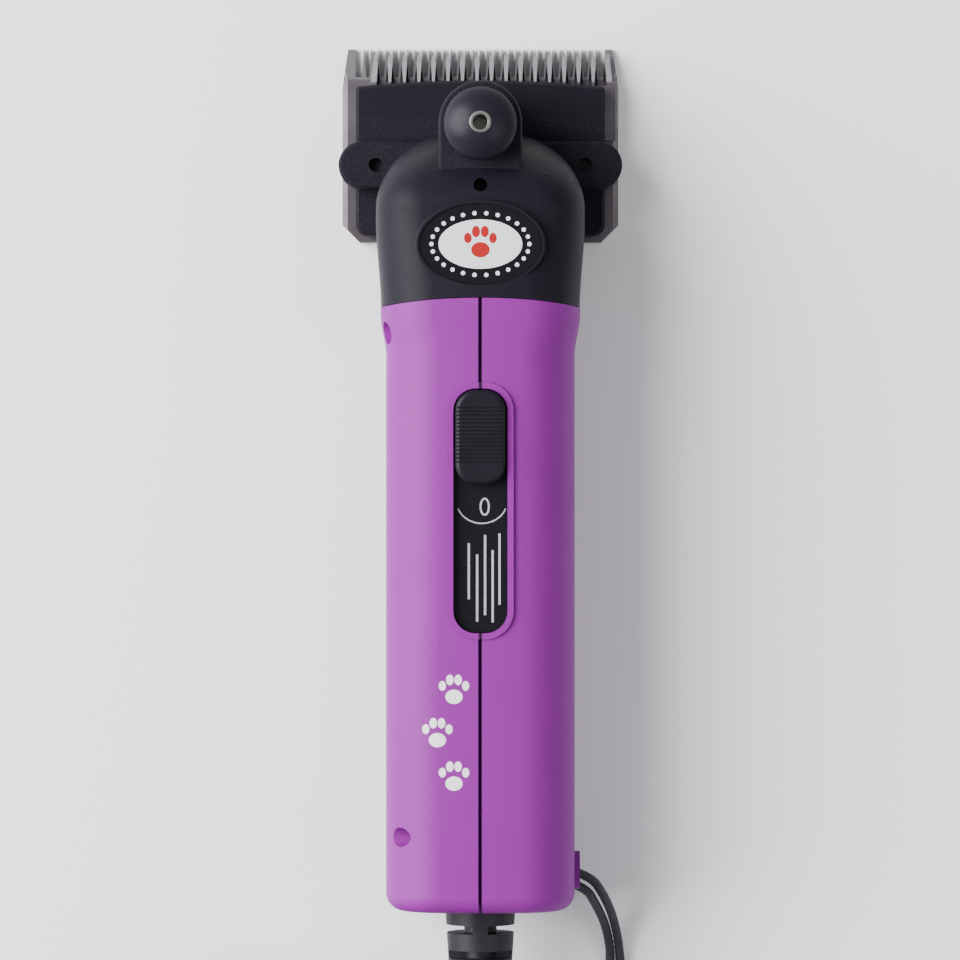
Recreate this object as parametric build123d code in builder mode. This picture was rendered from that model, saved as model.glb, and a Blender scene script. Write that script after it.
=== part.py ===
# Mains pet clipper: blades at +Y, switch and tension knob on top (+Z), lying on a table at z = 0.
import os
from math import acos, asin, cos, degrees, pi, radians, sin, sqrt, tan

from build123d import *

os.makedirs("parts", exist_ok=True)

# Handle, mm
axis_z = 26.5
half_width = 26.55
half_height = 26.5
wall = 2.6
handle_rear = -93.2
flare_start = 61.0
flare_half = 28.1
joint_front = 77.4
arch_radius = 172.0
seam_gap = 0.05
slot_rear = -15.4
slot_front = 52.3
slot_half = 7.5
slot_corner = 6.2
lip = 1.7

# Head
head_half = 29.4
dome_centre = 103.0
dome_depth = 23.9
dome_top = 50.0
deck_top = 14.0
deck_low = 8.0
hood_half = 35.4
hood_rear = 96.5
hood_front = 140.6
seat_low = 3.35
ear_span = 80.4
ear_depth = 13.4
ear_y = 116.2
ear_top = 20.0
ear_hole_x = 29.6
head_screw_places = [(-19, 34), (19, 34), (-17.5, 12), (17.5, 12)]
tower_half = 11.65
tower_top = 45.0
tower_rear = 104.0
tower_y = 126.5
knob_y = 125.8
badge_y = 92.3
badge_x_radius = 17.05
badge_y_radius = 11.4
badge_floor = 50.7
rim_low = 40.0
rim_top = 52.0
rim_wide = 1.0

# Blades
comb_half = 39.5
comb_rear = 95.0
comb_tip = 150.4
comb_root = 142.4
step_y = 141.6
comb_thick = 3.3
comb_teeth = 33
comb_pitch = 2.08
cutter_low = 3.4
cutter_thick = 3.0
cutter_half = 35.4
cutter_rear = 124.0
cutter_tip = 148.7
cutter_root = 140.6
cutter_teeth = 17
cutter_pitch = 4.15
groove_low = 0.75
groove_high = 1.75
stroke = 6.4

# Drive
gear_module = 0.5
pinion_teeth = 12
gear_teeth = 36
gear_low = 60.0
gear_width = 8.0
centre_distance = gear_module * (pinion_teeth + gear_teeth) / 2
crank_z = axis_z - centre_distance
fulcrum_y = 100.0
drive_y = 128.0
crank_y = 85.0
foot_x = 7.0
foot_r = 2.0
swing = degrees(asin(stroke / 2 / (drive_y - fulcrum_y)))
crank_offset = (fulcrum_y - crank_y) * sin(radians(swing))
roller_r = 2.4

# Motor
stator_rear = 0.0
stator_front = 30.0
stator_r = 20.5
yoke_r = 17.5
pole_r = 14.4
bolt_r = 18.8
armature_r = 12.0
shaft_r = 3.0
bearing_r = 6.5

# Switch
button_y = 38.8
button_travel = 9.0
button_half = 6.9
button_long = 26.2
button_low = 51.9

# Cord and strain relief
cord_r = 3.5
relief_end = -150.4
relief_base_r = 9.9
relief_tip_r = 6.4
relief_rings = 7
coil_columns = 4
coil_rows = 3
coil_mean = 40.0
coil_half = coil_columns * cord_r
coil_high = coil_rows * 2 * cord_r
coil_inner = coil_mean - coil_half + cord_r
coil_outer = coil_mean + coil_half - cord_r
lead_shift = 14.0
coil_x = lead_shift - coil_inner
coil_y = -218.0
loop_r = 1.25

# Plug
plug_x = -60.5
plug_y = -162.0
plug_half = 22.5
plug_long = 48.0
plug_high = 19.0
pin_gap = 22.0
earth_pin = 22.0
live_pin = 17.7


def save(part, name):
    # one file per piece
    part.label = name
    export_step(part, f"parts/{name}.step")
    box = part.bounding_box()
    print(f"{name:20s} {len(part.solids())} solids {part.volume:10.1f} mm3 z {box.min.Z:.2f}")


def across(y, z=0.0):
    # upright plane facing -Y, with local x along X and local y along Z
    return Plane(origin=(0, y, z), x_dir=(1, 0, 0), z_dir=(0, -1, 0))


def crowned(y, half_x, half_z, centre_z):
    # four shallow arcs joined by round corners
    crown = 0.085 * min(half_x, half_z)
    corner_x = half_x - crown
    corner_z = half_z - crown
    with BuildSketch(across(y, centre_z)) as outline:
        with BuildLine():
            ThreePointArc((-corner_x, corner_z), (0, half_z), (corner_x, corner_z))
            ThreePointArc((corner_x, corner_z), (half_x, 0), (corner_x, -corner_z))
            ThreePointArc((corner_x, -corner_z), (0, -half_z), (-corner_x, -corner_z))
            ThreePointArc((-corner_x, -corner_z), (-half_x, 0), (-corner_x, corner_z))
        make_face()
        fillet(outline.vertices(), 0.6 * min(half_x, half_z))
    return outline.sketch


slot_middle = (slot_rear + slot_front) / 2
slot_long = slot_front - slot_rear


# ---------------------------------------------------------------- handle
def arch_cylinder(clearance):
    # the joint between head and handle bows forward on top and below alike
    with BuildPart(mode=Mode.PRIVATE) as arch:
        with BuildSketch(Plane.XY.offset(-10)):
            with Locations((0, joint_front - arch_radius)):
                Circle(arch_radius + clearance)
        extrude(amount=80)
    return arch.part


screw_places = [(68.0, 41.5, 3.1), (-72.2, 47.0, 2.7), (-72.2, 6.5, 2.7)]
pocket_floor = 15.0
boss_r = 4.2

with BuildPart() as handle:
    crowned(flare_start, half_width, half_height, axis_z)
    extrude(crowned(flare_start, half_width, half_height, axis_z), amount=flare_start - handle_rear)
    fillet(handle.faces().sort_by(Axis.Y)[0].edges(), 4.4)
    with BuildPart(mode=Mode.PRIVATE) as flare:
        loft([
            crowned(flare_start, half_width, half_height, axis_z),
            crowned(flare_start + 4, half_width + 0.25, half_height, axis_z),
            crowned(flare_start + 9, half_width + 1.2, half_height, axis_z),
            crowned(flare_start + 13, flare_half, half_height, axis_z),
            crowned(flare_start + 18, flare_half, half_height, axis_z),
        ])
    add(flare.part)
    # lip around the switch slot
    with BuildSketch(Plane.XY.offset(48)):
        with Locations((0, slot_middle)):
            RectangleRounded(2 * (slot_half + lip), slot_long + 2 * lip, slot_corner + lip)
    extrude(amount=5.5)
    # raised eye for the hanging loop
    with BuildSketch(Plane.YZ.offset(20)):
        with Locations((-82.8, axis_z)):
            Ellipse(5.4, 4.4)
    extrude(amount=8.0)
    with BuildSketch(Plane.YZ.offset(20)):
        with Locations((-82.8, axis_z)):
            SlotOverall(7.6, 4.4)
    extrude(amount=10, mode=Mode.SUBTRACT)
    add(arch_cylinder(0), mode=Mode.INTERSECT)
    outside = handle.part
    # hollow inside
    inner = crowned(joint_front + 4, half_width - wall, half_height - wall, axis_z)
    extrude(inner, amount=joint_front + 4 - handle_rear - wall, mode=Mode.SUBTRACT)
    # ribs that hold the motor
    for y in (16.0, -21.0):
        with BuildSketch(across(y, axis_z)):
            Rectangle(2 * half_width - 2, 2 * half_height - 2)
            Circle(stator_r + 0.15, mode=Mode.SUBTRACT)
            with Locations((0, 22)):
                Rectangle(7.4, 6, mode=Mode.SUBTRACT)
        extrude(amount=2)
    # shelf under the switch
    with BuildSketch(Plane.XY.offset(22.2)):
        with Locations((0, -46)):
            Rectangle(2 * half_width - 2, 23)
        with Locations((-5, -52), (5, -52), (-5, -40), (5, -40)):
            Rectangle(2.4, 6, mode=Mode.SUBTRACT)
    extrude(amount=1.7)
    # saddle below the cord clamp
    with BuildSketch(Plane.XY.offset(1)):
        with Locations((0, -79)):
            Rectangle(23, 6.4)
    extrude(amount=axis_z - 1)
    with BuildSketch(across(-70, axis_z)):
        Circle(cord_r + 0.03)
    extrude(amount=16, mode=Mode.SUBTRACT)
    with BuildSketch(Plane.XY.offset(18)):
        with Locations((-8, -79), (8, -79)):
            Circle(1.4)
    extrude(amount=12, mode=Mode.SUBTRACT)
    # bosses for the shell screws
    for y, z, r in screw_places:
        with BuildSketch(Plane.YZ.offset(-22)):
            with Locations((y, z)):
                Circle(boss_r)
        extrude(amount=44)
    add(outside, mode=Mode.INTERSECT)
    # screw pockets on the left, shank holes right across
    for y, z, r in screw_places:
        with BuildSketch(Plane.YZ.offset(-40)):
            with Locations((y, z)):
                Circle(r)
        extrude(amount=40 - pocket_floor, mode=Mode.SUBTRACT)
        with BuildSketch(Plane.YZ.offset(-20)):
            with Locations((y, z)):
                Circle(1.6)
        extrude(amount=34, mode=Mode.SUBTRACT)
    # switch slot
    with BuildSketch(Plane.XY.offset(44)):
        with Locations((0, slot_middle)):
            RectangleRounded(2 * slot_half, slot_long, slot_corner)
    extrude(amount=12, mode=Mode.SUBTRACT)
    # round opening for the strain relief
    with BuildSketch(across(handle_rear + 8, axis_z)):
        Circle(8.0)
    extrude(amount=12, mode=Mode.SUBTRACT)
    # shallow V along the seam, top and bottom
    with BuildSketch(across(joint_front + 3)):
        with BuildLine():
            Polyline((-0.8, 2 * axis_z + 0.3), (0, 2 * axis_z - 1.1), (0.8, 2 * axis_z + 0.3), close=True)
        make_face()
        with BuildLine():
            Polyline((-0.8, -0.3), (0, 1.1), (0.8, -0.3), close=True)
        make_face()
    extrude(amount=joint_front - handle_rear + 6, mode=Mode.SUBTRACT)
    # ventilation slits in the underside near the fan
    with BuildSketch(Plane.XY.offset(-1)):
        for side in (-1, 1):
            for row in range(5):
                with Locations((side * 11, 30 + 4.5 * row)):
                    SlotOverall(11, 1.8)
    extrude(amount=6, mode=Mode.SUBTRACT)

shells = {}
for name, side in (("left_shell", Keep.BOTTOM), ("right_shell", Keep.TOP)):
    with BuildPart() as shell:
        add(handle.part)
        offset_x = seam_gap if side == Keep.TOP else -seam_gap
        split(bisect_by=Plane.YZ.offset(offset_x), keep=side)
    shells[name] = shell.part
    save(shell.part, name)

with BuildPart() as shell_screws:
    for y, z, r in screw_places:
        with BuildSketch(Plane.YZ.offset(-pocket_floor)):
            with Locations((y, z)):
                Circle(r - 0.3)
        extrude(amount=-1.8)
        with BuildSketch(Plane.YZ.offset(-pocket_floor)):
            with Locations((y, z)):
                Circle(1.55)
        extrude(amount=26)
    for y, z, r in screw_places:
        with BuildSketch(Plane.YZ.offset(-pocket_floor - 1.8)):
            with Locations((y, z)):
                Rectangle(2.6, 0.6)
                Rectangle(0.6, 2.6)
        extrude(amount=0.9, mode=Mode.SUBTRACT)
save(shell_screws.part, "shell_screws")

# ---------------------------------------------------------------- head


def dome_section(t):
    # t runs 0..1 from the widest place to the nose
    s = sqrt(1 - t * t)
    low = seat_low
    high = low + (dome_top - low) * s
    return crowned(dome_centre + dome_depth * t, head_half * s, (high - low) / 2, (high + low) / 2)


with BuildPart() as head_casing:
    with BuildPart(mode=Mode.PRIVATE) as collar:
        loft([
            crowned(joint_front - 6, flare_half - 0.1, half_height, axis_z),
            crowned(joint_front + 2, flare_half, half_height - 0.1, axis_z),
            crowned(badge_y, head_half - 0.3, 25.0, seat_low + 23.3 - 0.9),
            dome_section(0.0),
        ])
    add(collar.part)
    with BuildPart(mode=Mode.PRIVATE) as dome:
        loft([dome_section(t) for t in (0.0, 0.3, 0.55, 0.75, 0.9, 0.975)])
    add(dome.part)
    # hood plate over the blades, its front edge gently bowed
    with BuildSketch(Plane.XY.offset(deck_low), mode=Mode.PRIVATE) as hood:
        with BuildLine():
            Polyline((hood_half, hood_front - 1.8), (hood_half, hood_rear), (-hood_half, hood_rear),
                     (-hood_half, hood_front - 1.8))
            ThreePointArc((-hood_half, hood_front - 1.8), (0, hood_front), (hood_half, hood_front - 1.8))
        make_face()
        fillet(hood.vertices().group_by(Axis.Y)[0], 3.2)
        fillet(hood.vertices().group_by(Axis.Y)[-1], 1.2)
    with BuildPart(mode=Mode.PRIVATE) as hood_plate:
        add(hood.sketch)
        extrude(amount=deck_top - deck_low)
        chamfer(hood_plate.faces().sort_by(Axis.Z)[-1].edges(), 0.8)
    add(hood_plate.part)
    # seat that the comb is screwed to
    with BuildSketch(Plane.XY.offset(seat_low)):
        with Locations((0, (hood_rear + 121.5) / 2)):
            RectangleRounded(2 * hood_half - 2, 121.5 - hood_rear, 3.0)
    extrude(amount=deck_low - seat_low + 1)
    # ears
    with BuildPart(mode=Mode.PRIVATE) as ears:
        with BuildSketch(Plane.XY.offset(deck_low + 1)):
            with Locations((0, ear_y)):
                SlotOverall(ear_span, ear_depth)
        extrude(amount=ear_top - deck_low - 1)
        fillet(ears.faces().sort_by(Axis.Z)[-1].edges(), 1.1)
    add(ears.part)
    # tower for the tension knob
    with BuildPart(mode=Mode.PRIVATE) as tower:
        with BuildSketch(Plane.XY.offset(deck_low)):
            with Locations((0, (tower_y + tower_rear) / 2)):
                Rectangle(2 * tower_half, tower_y - tower_rear)
            with Locations((0, tower_y)):
                Circle(tower_half)
        extrude(amount=tower_top - deck_low)
        fillet(tower.faces().sort_by(Axis.Z)[-1].edges(), 0.9)
    add(tower.part)
    # rim around the badge
    with BuildPart(mode=Mode.PRIVATE) as rim:
        with BuildSketch(Plane.XY.offset(rim_low)):
            with Locations((0, badge_y)):
                Ellipse(badge_x_radius + rim_wide, badge_y_radius + rim_wide)
        extrude(amount=rim_top - rim_low)
        fillet(rim.faces().sort_by(Axis.Z)[-1].edges(), 0.4)
    add(rim.part)
    with BuildSketch(Plane.XY.offset(badge_floor)):
        with Locations((0, badge_y)):
            Ellipse(badge_x_radius, badge_y_radius)
    extrude(amount=4, mode=Mode.SUBTRACT)
    add(arch_cylinder(0.15), mode=Mode.SUBTRACT)
    # room for the comb under the seat
    with BuildSketch(Plane.XY.offset(-2)):
        with Locations((0, comb_rear - 0.4 + 40)):
            Rectangle(100, 80)
    extrude(amount=seat_low + 2, mode=Mode.SUBTRACT)
    # drive chamber, open to the cutter below the hood
    with BuildSketch(Plane.XY.offset(6.4)):
        with Locations((0, 98.5)):
            RectangleRounded(29, 33, 3)
    extrude(amount=27, mode=Mode.SUBTRACT)
    with BuildSketch(Plane.XY.offset(6.4)):
        with Locations((0, 117)):
            RectangleRounded(29, 33, 3)
    extrude(amount=6.8, mode=Mode.SUBTRACT)
    with BuildSketch(Plane.XY.offset(2)):
        with Locations((0, 129)):
            Rectangle(90, 15)
    extrude(amount=5, mode=Mode.SUBTRACT)
    # spindle bearing bore through the rear web
    with BuildSketch(across(84, crank_z)):
        Circle(bearing_r)
    extrude(amount=14, mode=Mode.SUBTRACT)
    # fulcrum post bore
    with BuildSketch(Plane.XY.offset(seat_low - 1)):
        with Locations((0, fulcrum_y)):
            Circle(2.5)
    extrude(amount=8, mode=Mode.SUBTRACT)
    # comb screw holes through the ears
    with BuildSketch(Plane.XY.offset(0)):
        with Locations((-ear_hole_x, ear_y), (ear_hole_x, ear_y)):
            Circle(2.0)
    extrude(amount=30, mode=Mode.SUBTRACT)
    # tension bore: spring chamber below, thread above
    with BuildSketch(Plane.XY.offset(12)):
        with Locations((0, knob_y)):
            Circle(5.0)
    extrude(amount=18, mode=Mode.SUBTRACT)
    with BuildSketch(Plane.XY.offset(29)):
        with Locations((0, knob_y)):
            Circle(3.05)
    extrude(amount=20, mode=Mode.SUBTRACT)
    # oil hole
    with BuildSketch(Plane.XY.offset(30)):
        with Locations((0, 108.9)):
            Circle(1.9)
    extrude(amount=25, mode=Mode.SUBTRACT)
    # blind holes for the head screws
    with BuildSketch(across(70, 0)):
        with Locations(*head_screw_places):
            Circle(1.6)
    extrude(amount=-20, mode=Mode.SUBTRACT)
save(head_casing.part, "head_casing")

with BuildPart() as badge_plate:
    with BuildSketch(Plane.XY.offset(badge_floor)):
        with Locations((0, badge_y)):
            Ellipse(badge_x_radius - 0.1, badge_y_radius - 0.1)
    extrude(amount=0.9)
save(badge_plate.part, "badge_plate")

# ---------------------------------------------------------------- blades
with BuildSketch() as comb_tooth:
    with BuildLine():
        Polyline((-0.62, comb_root - 0.5), (-0.16, comb_tip - 0.6), (-0.07, comb_tip), (0.07, comb_tip),
                 (0.16, comb_tip - 0.6), (0.62, comb_root - 0.5), close=True)
    make_face()

with BuildSketch() as cutter_tooth:
    with BuildLine():
        Polyline((-1.4, cutter_root - 0.5), (-0.45, cutter_tip), (0.45, cutter_tip),
                 (1.4, cutter_root - 0.5), close=True)
    make_face()

with BuildSketch() as cutter_groove:
    with BuildLine():
        Polyline((-groove_low, cutter_low - 0.1), (groove_low, cutter_low - 0.1),
                 (groove_high, cutter_low + cutter_thick + 0.1), (-groove_high, cutter_low + cutter_thick + 0.1),
                 close=True)
    make_face()

with BuildPart() as comb_blade:
    with BuildSketch() as comb_plan:
        with BuildLine():
            Polyline((comb_half, comb_rear + 5), (comb_half, comb_root - 3), (comb_half - 1.6, comb_tip),
                     (comb_half - 3.8, comb_tip), (comb_half - 3.8, comb_root), (-comb_half + 3.8, comb_root),
                     (-comb_half + 3.8, comb_tip), (-comb_half + 1.6, comb_tip),
                     (-comb_half, comb_root - 3), (-comb_half, comb_rear + 5), (-comb_half + 5, comb_rear),
                     (comb_half - 5, comb_rear), close=True)
        make_face()
        with GridLocations(comb_pitch, 1, comb_teeth, 1):
            add(comb_tooth.sketch)
    extrude(amount=comb_thick)
    # top face falls away to the tooth points
    with BuildSketch(Plane.YZ.offset(-50)):
        with BuildLine():
            Polyline((comb_root - 1, comb_thick + 0.01), (comb_tip + 1, 1.1), (comb_tip + 1, 6),
                     (comb_root - 1, 6), close=True)
        make_face()
    extrude(amount=100, mode=Mode.SUBTRACT)
    # ground step across the blade behind the teeth
    with BuildSketch(Plane.YZ.offset(-50)):
        with BuildLine():
            Polyline((step_y, comb_thick + 0.01), (step_y, comb_thick - 0.25), (comb_tip + 1, 0.85),
                     (comb_tip + 1, 6), (step_y, 6), close=True)
        make_face()
    extrude(amount=100, mode=Mode.SUBTRACT)
    # bevelled sides
    with BuildSketch(across(comb_rear - 1)):
        for side in (-1, 1):
            with BuildLine():
                Polyline((side * (comb_half + 0.01), comb_thick - 1.5), (side * (comb_half + 1), 6),
                         (side * (comb_half - 1.5), comb_thick + 0.01), close=True)
            make_face()
    extrude(amount=comb_rear - comb_tip - 3, mode=Mode.SUBTRACT)
    # counterbores for the comb screws
    with BuildSketch():
        with Locations((-ear_hole_x, ear_y), (ear_hole_x, ear_y)):
            Circle(4.6)
    extrude(amount=1.9, mode=Mode.SUBTRACT)
    with BuildSketch():
        with Locations((-ear_hole_x, ear_y), (ear_hole_x, ear_y)):
            Circle(2.2)
    extrude(amount=6, mode=Mode.SUBTRACT)
save(comb_blade.part, "comb_blade")

with BuildPart() as comb_screws:
    for side in (-1, 1):
        with BuildSketch(Plane.XY.offset(0.15)):
            with Locations((side * ear_hole_x, ear_y)):
                Circle(4.3)
        extrude(amount=1.75)
        with BuildSketch(Plane.XY.offset(1.0)):
            with Locations((side * ear_hole_x, ear_y)):
                Circle(1.98)
        extrude(amount=15)
    for side in (-1, 1):
        with BuildSketch(Plane.XY):
            with Locations((side * ear_hole_x, ear_y)):
                Rectangle(7, 1.1)
        extrude(amount=1.0, mode=Mode.SUBTRACT)
save(comb_screws.part, "comb_screws")

cutter_x = stroke / 2
with BuildPart() as cutter_blade:
    with BuildSketch(Plane.XY.offset(cutter_low)):
        with Locations((cutter_x, (cutter_rear + cutter_root) / 2)):
            Rectangle(2 * cutter_half, cutter_root - cutter_rear)
        with Locations((cutter_x, 0)):
            with GridLocations(cutter_pitch, 1, cutter_teeth, 1):
                add(cutter_tooth.sketch)
    extrude(amount=cutter_thick)
    # teeth thin out towards their points
    with BuildSketch(Plane.YZ.offset(-50)):
        with BuildLine():
            Polyline((cutter_root, cutter_low + cutter_thick + 0.01), (cutter_tip + 1, cutter_low + 1.1),
                     (cutter_tip + 1, 12), (cutter_root, 12), close=True)
        make_face()
    extrude(amount=100, mode=Mode.SUBTRACT)
    # sloping flanks between the teeth, leaving a narrow ridge on each
    with BuildSketch(across(cutter_root - 1)):
        with Locations((cutter_x, 0)):
            with GridLocations(cutter_pitch, 1, cutter_teeth - 1, 1):
                add(cutter_groove.sketch)
    extrude(amount=cutter_root - cutter_tip - 3, mode=Mode.SUBTRACT)
    # notches for the two feet of the fork
    with BuildSketch(Plane.XY):
        for side in (-1, 1):
            with Locations((cutter_x + side * foot_x, drive_y)):
                SlotOverall(7.6, 2 * foot_r + 0.5, rotation=90)
    extrude(amount=12, mode=Mode.SUBTRACT)
save(cutter_blade.part, "cutter_blade")

# ---------------------------------------------------------------- drive
fork_plane = Plane(origin=(0, fulcrum_y, 0), x_dir=(cos(radians(swing)), -sin(radians(swing)), 0),
                   z_dir=(0, 0, 1))
fork_low = 8.6
fork_thick = 3.8
arm_front = drive_y - fulcrum_y
tail_gap = roller_r + 2 * crank_offset + 0.35
tail_end = -15.2
tail_root = -7.0

with BuildPart() as drive_fork:
    with BuildSketch(fork_plane.offset(fork_low)) as fork_plan:
        with BuildLine():
            Polyline((-4, -5), (-5, 14), (-foot_x - 2.4, arm_front - 3), (-foot_x - 2.4, arm_front + 3),
                     (foot_x + 2.4, arm_front + 3), (foot_x + 2.4, arm_front - 3), (5, 14), (4, -5), close=True)
        make_face()
        with Locations((0, (tail_root + -3) / 2)):
            Rectangle(2 * tail_gap + 4, 4)
    extrude(amount=fork_thick)
    with BuildSketch(fork_plane.offset(fork_low)):
        for side in (-1, 1):
            with Locations((side * (tail_gap + 1), (tail_end - 3) / 2)):
                Rectangle(2, -tail_end - 3)
    extrude(amount=11.5)
    with BuildSketch(fork_plane.offset(fork_low)):
        Circle(2.55)
    extrude(amount=12, mode=Mode.SUBTRACT)
    with BuildSketch(fork_plane.offset(4.0)):
        for side in (-1, 1):
            with Locations((side * foot_x, arm_front)):
                Circle(foot_r)
    extrude(amount=fork_low - 4.0 + 0.5)
save(drive_fork.part, "drive_fork")

with BuildPart() as fulcrum_post:
    with BuildSketch(Plane.XY.offset(seat_low + 0.1)):
        with Locations((0, fulcrum_y)):
            Circle(2.48)
    extrude(amount=10.6)
save(fulcrum_post.part, "fulcrum_post")

with BuildPart() as fulcrum_clip:
    with BuildSketch(Plane.XY.offset(fork_low + fork_thick + 0.2)):
        with Locations((0, fulcrum_y)):
            Circle(4.4)
            Circle(2.48, mode=Mode.SUBTRACT)
            with Locations((3.5, 0)):
                Rectangle(3, 1.6, mode=Mode.SUBTRACT)
    extrude(amount=0.8)
save(fulcrum_clip.part, "fulcrum_clip")


def gear_outline(teeth, phase, backlash):
    # involute flanks at 25 degrees, four points a flank
    pressure = radians(25)
    pitch_r = gear_module * teeth / 2
    base_r = pitch_r * cos(pressure)
    tip_r = pitch_r + gear_module * 0.95
    root_r = pitch_r - gear_module * 1.3
    start_r = max(base_r, root_r)
    half_pitch = pi / (2 * teeth) - backlash / (2 * pitch_r)
    involute = tan(pressure) - pressure
    flank = []
    for step in range(4):
        r = start_r + (tip_r - start_r) * step / 3
        roll = acos(min(1.0, base_r / r))
        flank.append((r, half_pitch + involute - (tan(roll) - roll)))
    points = []
    for tooth in range(teeth):
        centre = phase + 2 * pi * tooth / teeth
        side = flank if start_r == root_r else [(root_r, flank[0][1])] + flank
        for r, a in side:
            points.append((r * cos(centre - a), r * sin(centre - a)))
        for r, a in reversed(side):
            points.append((r * cos(centre + a), r * sin(centre + a)))
    return points


with BuildPart() as motor_pinion:
    with BuildSketch(across(gear_low + gear_width + 1, axis_z)):
        with BuildLine():
            Polyline(*gear_outline(pinion_teeth, -pi / 2, 0.07), close=True)
        make_face()
        Circle(1.8, mode=Mode.SUBTRACT)
    extrude(amount=gear_width + 1)
save(motor_pinion.part, "motor_pinion")

with BuildPart() as crank_gear:
    with BuildSketch(across(gear_low + gear_width, crank_z)):
        with BuildLine():
            Polyline(*gear_outline(gear_teeth, pi / 2 + pi / gear_teeth, 0.07), close=True)
        make_face()
        Circle(3.0, mode=Mode.SUBTRACT)
    extrude(amount=gear_width)
save(crank_gear.part, "crank_gear")

with BuildPart() as crank_spindle:
    with BuildSketch(across(84.0, crank_z)):
        Circle(3.0)
    extrude(amount=84.0 - 54.4)
    with BuildSketch(across(84.0, crank_z)):
        Circle(4.2)
    extrude(amount=1.6)
    with BuildSketch(across(83.5, crank_z)):
        with Locations((-crank_offset, 0)):
            Circle(1.4)
    extrude(amount=-8.2)
save(crank_spindle.part, "crank_spindle")

with BuildPart() as crank_roller:
    with BuildSketch(across(91.4, crank_z)):
        with Locations((-crank_offset, 0)):
            Circle(roller_r)
            Circle(1.4, mode=Mode.SUBTRACT)
    extrude(amount=7.0)
save(crank_roller.part, "crank_roller")


def ball_bearing(front, z, width, outer_r, inner_r, balls):
    # two rings and a row of balls, kept together as separate solids
    middle = (outer_r + inner_r) / 2
    ball_r = (outer_r - inner_r) * 0.27
    with BuildPart() as bearing:
        with BuildSketch(across(front, z)):
            Circle(outer_r - 0.02)
            Circle(middle + ball_r * 0.55, mode=Mode.SUBTRACT)
            Circle(middle - ball_r * 0.55)
            Circle(inner_r + 0.02, mode=Mode.SUBTRACT)
        extrude(amount=width)
        with BuildPart(mode=Mode.PRIVATE) as groove:
            with BuildSketch(Plane(origin=(0, front - width / 2, z), x_dir=(1, 0, 0), z_dir=(0, 0, 1))):
                with Locations((middle, 0)):
                    Circle(ball_r + 0.03)
            revolve(axis=Axis((0, front, z), (0, 1, 0)))
        add(groove.part, mode=Mode.SUBTRACT)
        for ball in range(balls):
            turn = 2 * pi * ball / balls
            with Locations((middle * cos(turn), front - width / 2, z + middle * sin(turn))):
                Sphere(ball_r)
    return bearing.part


save(ball_bearing(58.0, axis_z, 4.0, bearing_r, shaft_r, 7), "front_bearing")
save(ball_bearing(-20.5, axis_z, 4.0, bearing_r, shaft_r, 7), "rear_bearing")
save(ball_bearing(81.6, crank_z, 4.0, bearing_r, 3.0, 7), "crank_bearing")

# ---------------------------------------------------------------- motor
with BuildPart() as gear_plate:
    extrude(crowned(58.0, half_width - wall - 0.5, half_height - wall - 0.5, axis_z), amount=4.2)
    with BuildSketch(across(59, axis_z)):
        Circle(bearing_r)
    extrude(amount=6, mode=Mode.SUBTRACT)
    with BuildSketch(across(59, crank_z)):
        Circle(3.05)
    extrude(amount=6, mode=Mode.SUBTRACT)
    with BuildSketch(across(59, 0)):
        with Locations(*head_screw_places):
            Circle(1.6)
        with Locations((0, axis_z - bolt_r), (0, axis_z + bolt_r)):
            Circle(1.5)
    extrude(amount=6, mode=Mode.SUBTRACT)
save(gear_plate.part, "gear_plate")

with BuildPart() as head_screws:
    for x, z in head_screw_places:
        with BuildSketch(across(53.8, z)):
            with Locations((x, 0)):
                Circle(2.8)
        extrude(amount=2.0)
        with BuildSketch(across(86.0, z)):
            with Locations((x, 0)):
                Circle(1.55)
        extrude(amount=33.0)
save(head_screws.part, "head_screws")

with BuildPart() as stator_core:
    with BuildSketch(across(stator_front, axis_z)):
        # pole shoes above and below the armature
        Circle(pole_r)
        Circle(armature_r + 0.45, mode=Mode.SUBTRACT)
        Rectangle(40, 13, mode=Mode.SUBTRACT)
        with Locations((0, 15.75), (0, -15.75)):
            Rectangle(12, 5.5)
        with BuildSketch(mode=Mode.PRIVATE) as yoke:
            Circle(stator_r)
            Circle(yoke_r, mode=Mode.SUBTRACT)
        add(yoke.sketch)
        with Locations((0, -bolt_r), (0, bolt_r)):
            Circle(1.5, mode=Mode.SUBTRACT)
    extrude(amount=stator_front - stator_rear)
save(stator_core.part, "stator_core")

with BuildPart() as field_coils:
    with BuildSketch(across(stator_front + 5, axis_z)):
        Circle(yoke_r - 0.3)
        Circle(pole_r + 0.3, mode=Mode.SUBTRACT)
        Rectangle(40, 14, mode=Mode.SUBTRACT)
    extrude(amount=stator_front - stator_rear + 10)
    with BuildSketch(across(stator_front, axis_z)):
        Rectangle(12.6, 40)
    extrude(amount=stator_front - stator_rear, mode=Mode.SUBTRACT)
save(field_coils.part, "field_coils")

with BuildPart() as armature_shaft:
    with BuildSketch(across(58.3, axis_z)):
        Circle(shaft_r)
    extrude(amount=58.3 + 25.5)
    with BuildSketch(across(gear_low + gear_width + 2, axis_z)):
        Circle(1.78)
    extrude(amount=14)
save(armature_shaft.part, "armature_shaft")

with BuildPart() as armature_core:
    with BuildSketch(across(stator_front, axis_z)):
        Circle(armature_r)
        Circle(shaft_r + 0.01, mode=Mode.SUBTRACT)
        with PolarLocations(armature_r - 2.6, 12):
            SlotOverall(4.4, 2.6, mode=Mode.SUBTRACT)
        with PolarLocations(armature_r, 12):
            Rectangle(2.4, 1.2, mode=Mode.SUBTRACT)
    extrude(amount=stator_front - stator_rear)
save(armature_core.part, "armature_core")

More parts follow.
